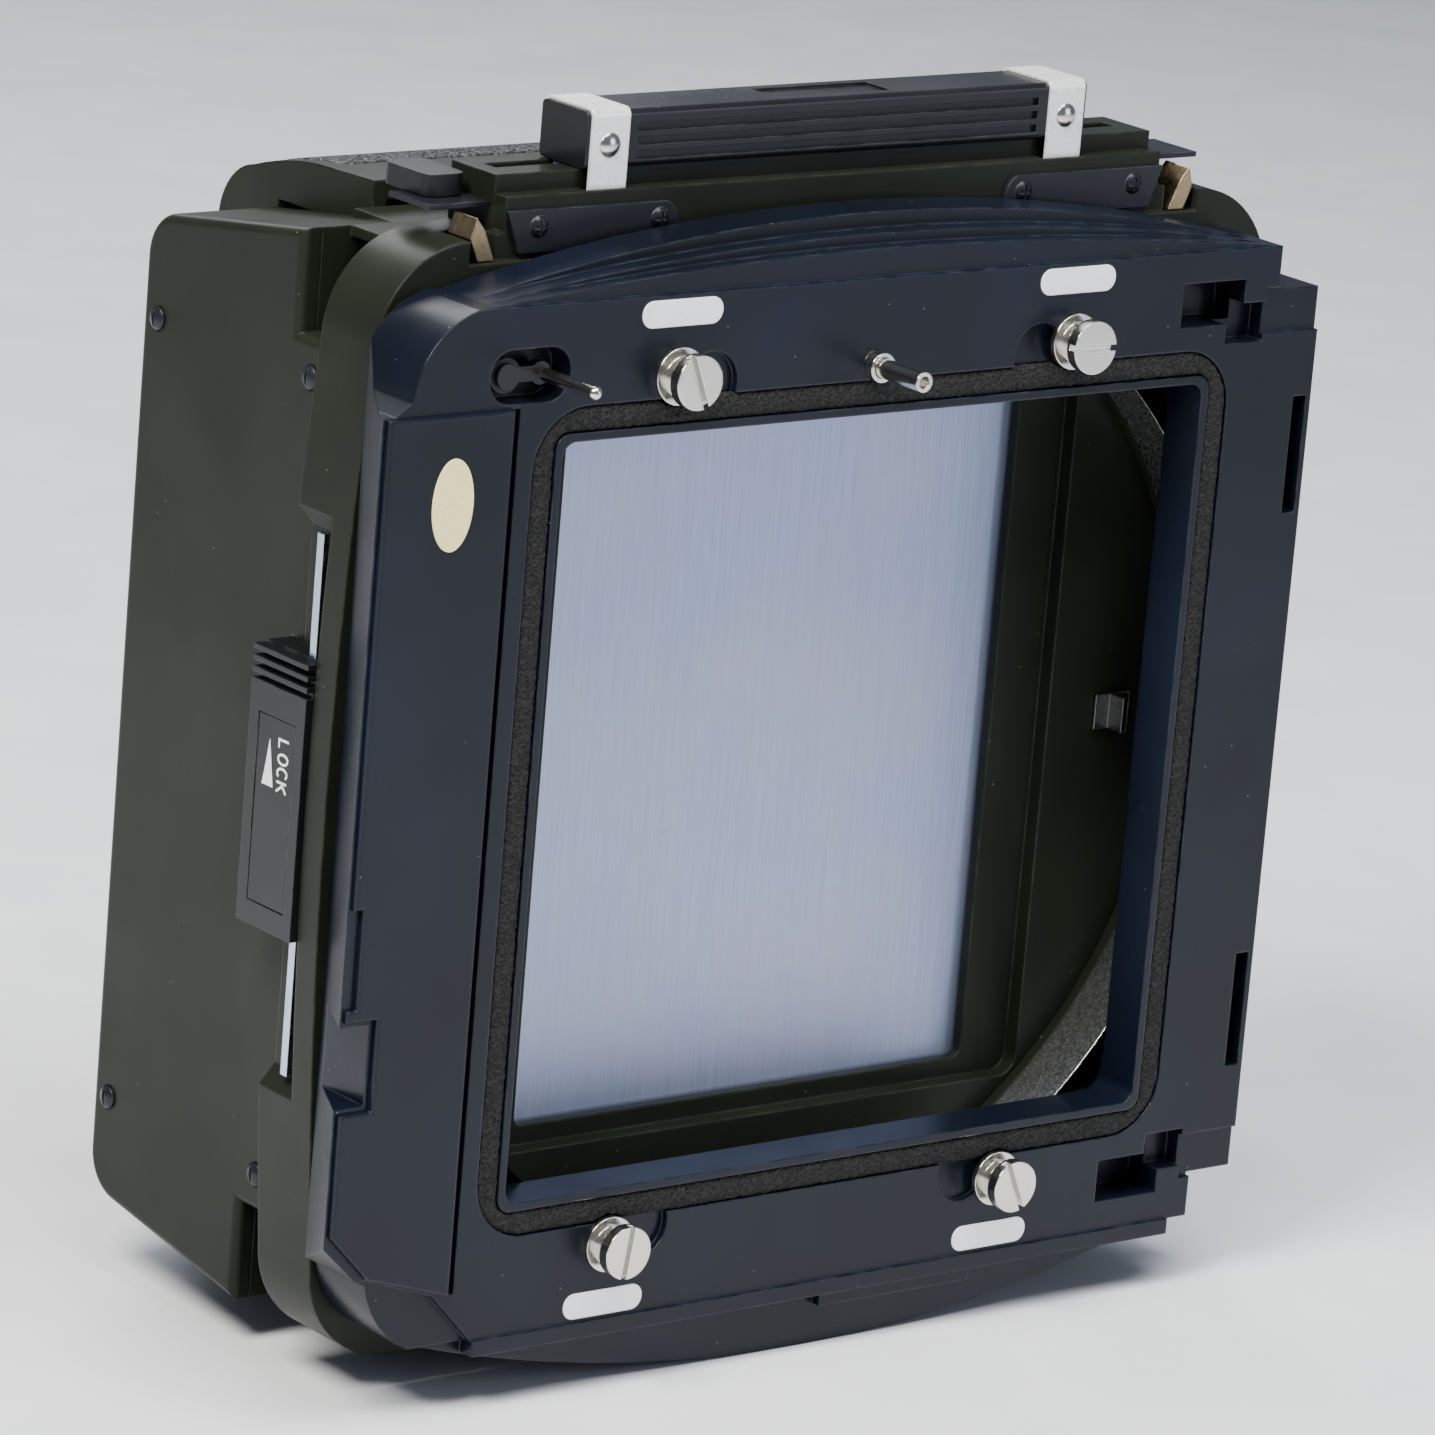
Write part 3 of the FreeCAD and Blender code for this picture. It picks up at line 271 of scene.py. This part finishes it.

# %% [markdown]
# ## Foam, felt, leatherette and paper
# The light seal is open-cell foam, so it is nearly black; the light its torn cells catch is
# painted in as pale specks. The slot is lined with plush. The door wears vinyl leatherette
# with a pebble grain about 1.1 mm across. The sticker is cream paper. On all of them the
# colour follows the cells' height, so hollows and creases are painted darker as shade.


# %% Soft finishes
def cell_finish(name, base, light, cell, depth, rough, sheen=0.0, crease=False):
    """Cells about cell mm across: pits for foam, or domed pebbles parted by creases."""
    m, t, shader, mm = begin(name)
    warp = add(t, "ShaderNodeTexNoise", {"Scale": 1 / (cell * 2), "Detail": 3.0},
               {"Vector": mm})
    shift = add(t, "ShaderNodeVectorMath", {1: (cell, cell, cell)},
                {0: warp.outputs["Color"]}, operation="MULTIPLY")
    at = add(t, "ShaderNodeVectorMath", None, {0: mm, 1: shift}, operation="ADD")
    cells = add(t, "ShaderNodeTexVoronoi", {"Scale": 1 / cell}, {"Vector": at},
                feature="DISTANCE_TO_EDGE" if crease else "F1")
    high = (0.02, 0.22) if crease else (0.15, 0.75)
    height = add(t, "ShaderNodeValToRGB", None, {"Fac": cells},
                 [(high[0], 0.0), (high[1], 1.0)])
    fine = add(t, "ShaderNodeTexNoise", {"Scale": 4 / cell, "Detail": 4.0}, {"Vector": mm})
    # Painted shade: the colour follows the height, so pits and creases are painted darker and
    # the tops lighter.
    tone = add(t, "ShaderNodeMix", {6: colour(base), 7: colour(light)}, {0: height},
               data_type="RGBA")
    # Pale specks: on the foam they are painted glints of light on torn cells; on the other
    # finishes they are light grit.
    grit = add(t, "ShaderNodeValToRGB", None, {"Fac": fine}, [(0.56, 0.0), (0.72, 0.6)])
    tone = add(t, "ShaderNodeMix", {7: colour(light)}, {0: grit, 6: tone.outputs[2]},
               data_type="RGBA")
    t.links.new(tone.outputs[2], shader.inputs["Base Color"])
    spread = add(t, "ShaderNodeValToRGB", None, {"Fac": fine},
                 [(0.3, rough - 0.06), (0.7, min(rough + 0.06, 1.0))])
    t.links.new(spread.outputs[0], shader.inputs["Roughness"])
    bump = add(t, "ShaderNodeBump", {"Strength": 0.9, "Distance": depth * MM},
               {"Height": height})
    t.links.new(bump.outputs[0], shader.inputs["Normal"])
    shader.inputs["Sheen Weight"].default_value = sheen
    shader.inputs["Specular IOR Level"].default_value = 0.3
    return m


foam = cell_finish("polyurethane_foam_open_cell", "#010101", "#232322", 0.34, 0.22, 0.85)
felt = cell_finish("plush_woven_black", "#050505", "#1c1c1d", 0.3, 0.1, 0.95, sheen=0.3)
leatherette = cell_finish("vinyl_embossed_pebble", "#0b0b0c", "#1a1b1c", 1.1, 0.16, 0.42,
                          crease=True)
paper = cell_finish("paper_label_cream", "#e9e08f", "#f5eeb2", 0.2, 0.01, 0.6)
white_ink = cell_finish("ink_screen_printed", "#d8dadb", "#f0f1f1", 0.15, 0.006, 0.5)
glass_clear, gt, glass_shader, gmm = begin("acrylic_window_clear")
scratch = add(gt, "ShaderNodeTexNoise", {"Scale": 3.0, "Detail": 5.0}, {"Vector": gmm})
haze = add(gt, "ShaderNodeValToRGB", None, {"Fac": scratch}, [(0.4, 0.03), (0.8, 0.12)])
gt.links.new(haze.outputs[0], glass_shader.inputs["Roughness"])
glass_shader.inputs["Transmission Weight"].default_value = 1.0
glass_shader.inputs["IOR"].default_value = 1.49
print("soft finishes:", foam.name, leatherette.name)

# %% [markdown]
# ## Dressing the machined parts
# Each machined part keeps its own shape and gets the finish listed here.

# %% Assign finishes
finishes = {
    enamel: "front_plate side_panel",
    shell_enamel: "side_cover_left side_cover_right rear_door magazine_housing "
                  "revolving_frame",
    abs_black: "lock_slider_left lock_slider_right slide_handle door_latch "
               "film_selector_knob lock_label_left lock_label_right take_up_spool supply_spool",
    coated_steel: "slot_bracket_left slot_bracket_right ear_plates bracket_screws "
                  "side_cover_screws_left side_cover_screws_right insert_frame "
                  "selector_lever lever_pivot",
    inner_black: "retaining_ring pressure_plate",
    turned_steel: "mounting_studs signal_pin pin_bush lever_pin guide_roller_lower "
                  "guide_roller_upper handle_rivets drive_shaft spool_pivots "
                  "counter_post door_hinge_pin retainer_screws",
    rolled_steel: "index_clip pressure_springs",
    rail_steel: "lock_rail_left lock_rail_right",
    white_contact: "contact_ovals",
    strap_steel: "handle_straps",
    ring_alloy: "bearing_ring",
    memo_alloy: "memo_holder",
    brass_tone: "brass_lugs",
    gear_brass: "shaft_gear counter_gear",
    dark_anodised: "advance_lever",
    slide_steel: "dark_slide",
    foam: "foam_seal",
    felt: "slot_felts",
    leatherette: "door_covering",
    paper: "maker_sticker counter_dial",
    glass_clear: "counter_window",
}
dressed = 0
for finish, names in finishes.items():
    for name in names.split():
        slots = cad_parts[name].data.materials
        slots.clear()
        slots.append(finish)
        dressed += 1
print("dressed", dressed, "of", len(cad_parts), "parts")

# %% [markdown]
# ## Foam light seal
# The machined model has the seal as a flat ring. The real one is a soft bead: its section
# is a rounded block, it dips where a stud's collar presses on it, and its skin is torn
# cells, so every point is lifted by a small random amount.


# %% Foam bead
def frame_path(half_x, half_z, radius, straight, corner):
    """Points round a rounded rectangle: eight spans, four straight and four quarter
    circles (centre + radius * (cos, sin)), each cut into equal steps, so that two of
    these paths can be paired point by point."""
    x, z = half_x - radius, half_z - radius
    along = np.linspace(0, 1, straight, endpoint=False)[:, None]
    spans = []
    centres = [(x, -z), (x, z), (-x, z), (-x, -z)]
    starts = [(-x, -half_z), (half_x, -z), (x, half_z), (-half_x, z)]
    ends = [(x, -half_z), (half_x, z), (-x, half_z), (-half_x, -z)]
    for i in range(4):
        a, b = np.array(starts[i]), np.array(ends[i])
        spans.append(a + (b - a) * along)
        turn = (np.linspace(0, 1, corner, endpoint=False) + i - 1) * math.pi / 2
        quarter = np.stack([np.cos(turn), np.sin(turn)], axis=1) * radius
        spans.append(np.array(centres[i]) + quarter)
    return np.concatenate(spans)


def closed_tube(grid):
    """Mesh of a grid of points that closes both ways: rows x columns quads."""
    rows, cols = grid.shape[:2]
    r, c = np.meshgrid(np.arange(rows), np.arange(cols), indexing="ij")
    r2, c2 = (r + 1) % rows, (c + 1) % cols
    quads = np.stack([r * cols + c, r2 * cols + c, r2 * cols + c2, r * cols + c2], axis=-1)
    mesh = bpy.data.meshes.new("tube")
    mesh.from_pydata((grid.reshape(-1, 3) * MM).tolist(), [], quads.reshape(-1, 4).tolist())
    mesh.shade_smooth()
    return mesh


def new_piece(name, mesh, finish, body):
    """Put a mesh in the scene with its finish, body and colour slot."""
    obj = bpy.data.objects.new(name, mesh)
    bpy.context.collection.objects.link(obj)
    mesh.materials.append(finish)
    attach(obj, body)
    return obj


# The seal's sizes in mm: half width, half height and corner radius of its two sides.
SEAL_INSIDE = (40.02, 38.02, 1.5)
SEAL_OUTSIDE = (42.58, 40.58, 6)
STRAIGHT_STEPS, CORNER_STEPS, SECTION_STEPS = 260, 22, 20
SQUARENESS = 0.5
TORN_CELLS = 0.055
STUDS = [(x, z) for x in (-26.5, 21.7) for z in (-42.75, 42.75)]
COLLAR_CLEAR = 2.95


def foam_bead(front, back, studs, collar):
    """Section: across = middle + half * cos^0.5, depth = middle - half * sin^0.5 of an
    angle, swept round the opening; the outer side gives way in a circle at each stud."""
    inner = frame_path(*SEAL_INSIDE, STRAIGHT_STEPS, CORNER_STEPS)
    outer = frame_path(*SEAL_OUTSIDE, STRAIGHT_STEPS, CORNER_STEPS)
    angle = np.linspace(0, 2 * math.pi, SECTION_STEPS, endpoint=False)
    wide, deep = (np.sign(wave) * np.abs(wave) ** SQUARENESS
                  for wave in (np.cos(angle), np.sin(angle)))
    across = 0.5 + 0.5 * wide
    depth = (front + back) / 2 - (back - front) / 2 * deep
    flat = inner[:, None] + (outer - inner)[:, None] * across[None, :, None]
    for x, z in studs:
        off = flat - np.array((x, z))
        far = np.maximum(np.linalg.norm(off, axis=2, keepdims=True), 1e-6)
        flat = flat + off / far * np.maximum(collar - far, 0)
    grid = np.stack([flat[..., 0], np.broadcast_to(depth, flat.shape[:2]), flat[..., 1]],
                    axis=-1)
    torn = np.random.default_rng(5).normal(0, TORN_CELLS, grid.shape)
    torn[..., 1] = np.abs(torn[..., 1])
    return closed_tube(grid + torn)


bead = new_piece("foam_bead", foam_bead(0.0, 1.9, STUDS, COLLAR_CLEAR), foam, "adapter")
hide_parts("foam_seal")
print("foam bead:", len(bead.data.polygons), "faces")

# %% [markdown]
# ## Printed labels
# Each sliding lock carries a word and an arrow that shows which way it locks. The print
# is a thin film of white ink, so the strokes are flat ribbons 0.03 mm thick.


# %% Lock print
def ribbon(path, width):
    """Flat strip along a path: each side is the path moved half a width along the mean
    of the normals of the two spans that meet at the point."""
    path = np.array(path, float)
    step = np.diff(path, axis=0)
    step /= np.linalg.norm(step, axis=1, keepdims=True)
    lead = np.concatenate([step[:1], step])
    follow = np.concatenate([step, step[-1:]])
    mean = lead + follow
    mean /= np.linalg.norm(mean, axis=1, keepdims=True)
    side = np.stack([-mean[:, 1], mean[:, 0]], axis=1)
    side /= np.maximum((mean * follow).sum(axis=1, keepdims=True), 0.5)
    return np.concatenate([path + side * width / 2, (path - side * width / 2)[::-1]])


def arc(cx, cy, rx, ry, start, end, count=24):
    """Points on an ellipse between two angles in degrees."""
    turn = np.radians(np.linspace(start, end, count))
    return np.stack([cx + rx * np.cos(turn), cy + ry * np.sin(turn)], axis=1).tolist()


def word_outlines(tall, wide, gap, pen):
    """The four letters of the word, as closed outlines on a baseline."""
    half, mid = wide / 2, tall / 2
    strokes = []
    x = 0.0
    strokes.append([(x, tall), (x, 0), (x + wide * 0.85, 0)])
    x += wide + gap
    strokes.append(arc(x + half, mid, half, mid, 90, 450))
    x += wide + gap
    strokes.append(arc(x + half, mid, half, mid, 45, 315))
    x += wide + gap
    strokes.append([(x, tall), (x, 0)])
    strokes.append([(x + wide, tall), (x + 0.04, mid)])
    strokes.append([(x + 0.3, mid + 0.1), (x + wide, 0)])
    return [ribbon(path, pen) for path in strokes]


def print_mesh(outlines, thick, place):
    """Outlines raised by a thickness. The top joins point i to the point as far from the
    other end, and the sides join each point to the one above it; place turns flat points
    and a height into holder points."""
    points, faces, base = [], [], 0
    for line in outlines:
        line = np.array(line, float)
        n = len(line)
        points += [place(line, 0), place(line, thick)]
        i = np.arange(n // 2 - 1)
        faces.append(base + n + np.stack([i, i + 1, n - 2 - i, n - 1 - i], axis=1))
        i, j = np.arange(n), np.roll(np.arange(n), -1)
        faces.append(base + np.stack([i, j, n + j, n + i], axis=1))
        base += 2 * n
    mesh = bpy.data.meshes.new("print")
    mesh.from_pydata((np.concatenate(points) * MM).tolist(), [],
                     np.concatenate(faces).tolist())
    return mesh


# In mm: the plane of the print, how high the word starts, and the size of its letters.
LABEL_FACE, TEXT_TOP, INK = 56.97, 6.1, 0.03
LETTER_TALL, LETTER_WIDE, LETTER_GAP, PEN = 1.55, 0.95, 0.42, 0.24
ARROW = [(0, 1.2), (0.45, 1.2), (0.9, 1.2), (1.8, 1.2), (0.95, 5.6), (0.9, 5.75),
         (0.85, 5.6), (0.4, 3.0)]


def label_places(sign, word_base, arrow_base):
    """Two placings for one side's label. Text runs down it, its letters standing towards
    the front on the left label and towards the back on the right; the arrow runs up."""
    def word(flat, height):
        face = np.full(len(flat), sign * (LABEL_FACE + height))
        return np.stack([face, word_base + sign * flat[:, 1], TEXT_TOP - flat[:, 0]], axis=1)

    def arrow(flat, height):
        face = np.full(len(flat), sign * (LABEL_FACE + height))
        return np.stack([face, arrow_base + sign * flat[:, 0], flat[:, 1]], axis=1)
    return word, arrow


letters = word_outlines(LETTER_TALL, LETTER_WIDE, LETTER_GAP, PEN)
for side, sign, word_base, arrow_base in (("left", -1, 16.9, 19.3), ("right", 1, 18.0, 15.6)):
    word_place, arrow_place = label_places(sign, word_base, arrow_base)
    new_piece("lock_word_" + side, print_mesh(letters, INK, word_place), white_ink,
              "lock_" + side[0])
    new_piece("lock_arrow_" + side, print_mesh([ARROW], INK, arrow_place), white_ink,
              "lock_" + side[0])
print("lock print placed")

# %% [markdown]
# ## Pebbled top of the door
# The covering goes on over the round top of the door. It is a thin sheet that follows the
# door's arc. Each pebble is a dome: the height falls off with the distance to the nearest
# of a jittered set of centres, and the creases lie where two are equally near.


# %% Door top covering
STEPS_ACROSS, STEPS_ROUND = 300, 56
# In mm: how high a pebble stands and how far off the door the turned-down edge lies.
DOME, HEM = 0.09, 0.02
# In pebbles: how far a centre strays and how wide a crease is.
JITTER, CREASE = 0.4, 0.4


def pebbled_cap(half_x, start, end, radius, thick, pebble):
    """A strip over an arc from start to end (y, z): along the arc the centre sits radius
    below the chord, and the height of each point is thick plus its pebble's dome."""
    start, end = np.array(start, float), np.array(end, float)
    chord = end - start
    half = np.linalg.norm(chord) / 2
    down = np.array((chord[1], -chord[0])) / (2 * half)
    down = down if down[1] < 0 else -down
    centre = (start + end) / 2 + down * math.sqrt(radius ** 2 - half ** 2)
    a0, a1 = (math.atan2(p[1] - centre[1], p[0] - centre[0]) for p in (start, end))
    xs = np.linspace(-half_x, half_x, STEPS_ACROSS)
    angles = np.linspace(a0, a1, STEPS_ROUND)
    run = (angles - a0) * radius
    grid_x, grid_run = np.meshgrid(xs, run, indexing="ij")
    rng = np.random.default_rng(11)
    nx, nr = int(2 * half_x / pebble) + 2, int(abs(run[-1]) / pebble) + 3
    seeds = np.stack(np.meshgrid(np.arange(nx), np.arange(nr), indexing="ij"), -1)
    seeds = (seeds + rng.uniform(-JITTER, JITTER, seeds.shape)).reshape(-1, 2) * pebble
    seeds = seeds - (half_x + pebble / 2, pebble)
    flat = np.stack([grid_x.ravel(), np.abs(grid_run).ravel()], axis=1)
    near = np.full((len(flat), 2), 1e9)
    for seed in seeds:
        far = np.hypot(flat[:, 0] - seed[0], flat[:, 1] - seed[1])
        closer = far < near[:, 0]
        near[:, 1] = np.where(closer, near[:, 0], np.minimum(near[:, 1], far))
        near[:, 0] = np.where(closer, far, near[:, 0])
    dome = np.clip((near[:, 1] - near[:, 0]) / (CREASE * pebble), 0, 1) ** 0.6 * DOME
    reach = radius + thick + dome.reshape(grid_x.shape)
    reach[0] = reach[-1] = radius + HEM
    reach[:, 0] = reach[:, -1] = radius + HEM
    turn = np.broadcast_to(angles, grid_x.shape)
    grid = np.stack([grid_x, centre[0] + reach * np.cos(turn),
                     centre[1] + reach * np.sin(turn)], axis=-1)
    rows, cols = grid.shape[:2]
    i = (np.arange(rows - 1)[:, None] * cols + np.arange(cols - 1)).ravel()
    faces = np.stack([i, i + cols, i + cols + 1, i + 1], axis=1)
    mesh = bpy.data.meshes.new("cap")
    mesh.from_pydata((grid.reshape(-1, 3) * MM).tolist(), [], faces.tolist())
    mesh.shade_smooth()
    return mesh


cap_mesh = pebbled_cap(half_x=38, start=(39.6, 55.2), end=(51.0, 53.09), radius=40,
                       thick=0.12, pebble=1.1)
cap = new_piece("door_top_covering", cap_mesh, leatherette, "door")
print("covering:", len(cap.data.polygons), "faces")

# %% [markdown]
# ## Floor, light and camera
# A pale sweep, a soft box from the upper left, one overhead, and a weak fill and rim, as for
# a small product on a table. The camera looks from the front left, a little above, with a
# long lens.


# %% Stage
SWEEP_HALF, SWEEP_RISE = 1.6, 0.8
LENS, SENSOR = 198.5, 36
CAMERA_SPOT = (-0.47272, -0.56563, 0.20304)
CAMERA_TURN = ((0.79043, 0.09607, -0.60496), (-0.60717, 0.25339, -0.75308),
               (0.08095, 0.96257, 0.25862))


def floor_surface(low, half, rise):
    """A sweep: flat in front, then curving up behind as a quarter circle of radius rise."""
    u = np.linspace(-half, half, 9)
    flat = np.linspace(-half, half, 12)
    turn = np.linspace(0, math.pi / 2, 16)[1:]
    y = np.concatenate([flat, half + rise * np.sin(turn)])
    z = np.concatenate([np.full(flat.size, low), low + rise * (1 - np.cos(turn))])
    grid_u, grid_y = np.meshgrid(u, y)
    grid_z = np.repeat(z[:, None], u.size, axis=1)
    points = np.stack([grid_u, grid_y, grid_z], axis=-1).reshape(-1, 3)
    cols = u.size
    i = (np.arange(y.size - 1)[:, None] * cols + np.arange(cols - 1)).ravel()
    faces = np.stack([i, i + 1, i + cols + 1, i + cols], axis=1)
    mesh = bpy.data.meshes.new("sweep")
    mesh.from_pydata(points.tolist(), [], faces.tolist())
    mesh.shade_smooth()
    return mesh


low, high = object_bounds()
sweep_mesh = floor_surface(low.z, SWEEP_HALF, SWEEP_RISE)
sweep = bpy.data.objects.new("studio_sweep", sweep_mesh)
bpy.context.collection.objects.link(sweep)
sweep_paper, st, sweep_shader, smm = begin("paper_studio_pale")
fibre = add(st, "ShaderNodeTexNoise", {"Scale": 0.05, "Detail": 4.0}, {"Vector": smm})
shade = add(st, "ShaderNodeValToRGB", None, {"Fac": fibre},
            [(0.3, colour("#dfe2e8")), (0.7, colour("#e8ebef"))])
st.links.new(shade.outputs[0], sweep_shader.inputs["Base Color"])
sweep_shader.inputs["Roughness"].default_value = 0.8
sweep.data.materials.append(sweep_paper)

world = bpy.data.worlds.new("studio")
world.use_nodes = True
world.node_tree.nodes["Background"].inputs["Color"].default_value = colour("#c9d4ea")
world.node_tree.nodes["Background"].inputs["Strength"].default_value = 0.28
bpy.context.scene.world = world


def soft_light(name, spot, target, size, power, tint):
    """A square soft box at a spot, facing a target; sizes in metres, power in watts."""
    data = bpy.data.lights.new(name, "AREA")
    data.shape = "SQUARE"
    data.size = size
    data.energy = power
    data.color = colour(tint)[:3]
    lamp = bpy.data.objects.new(name, data)
    lamp.location = spot
    lamp.rotation_euler = (Vector(target) - Vector(spot)).to_track_quat("-Z", "Y").to_euler()
    bpy.context.collection.objects.link(lamp)
    return lamp


middle = (low + high) / 2
soft_light("key_box", (-0.40, -0.10, 0.50), middle, 0.25, 8, "#fffaf0")
soft_light("top_strip", (0.0, -0.22, 0.60), middle, 0.35, 5, "#ffffff")
soft_light("fill_box", (0.50, -0.70, 0.20), middle, 0.4, 1.6, "#e6eeff")
soft_light("rim_box", (0.2, 0.6, 0.5), middle, 0.4, 3, "#ffffff")

camera = bpy.data.objects.new("camera", bpy.data.cameras.new("camera"))
bpy.context.collection.objects.link(camera)
camera.data.lens = LENS
camera.data.sensor_width = SENSOR
camera.data.clip_start = 0.05
camera.matrix_world = Matrix.Translation(CAMERA_SPOT) @ Matrix(CAMERA_TURN).to_4x4()
bpy.context.scene.camera = camera
print("camera", round((camera.location - middle).length, 3), "m from the holder")
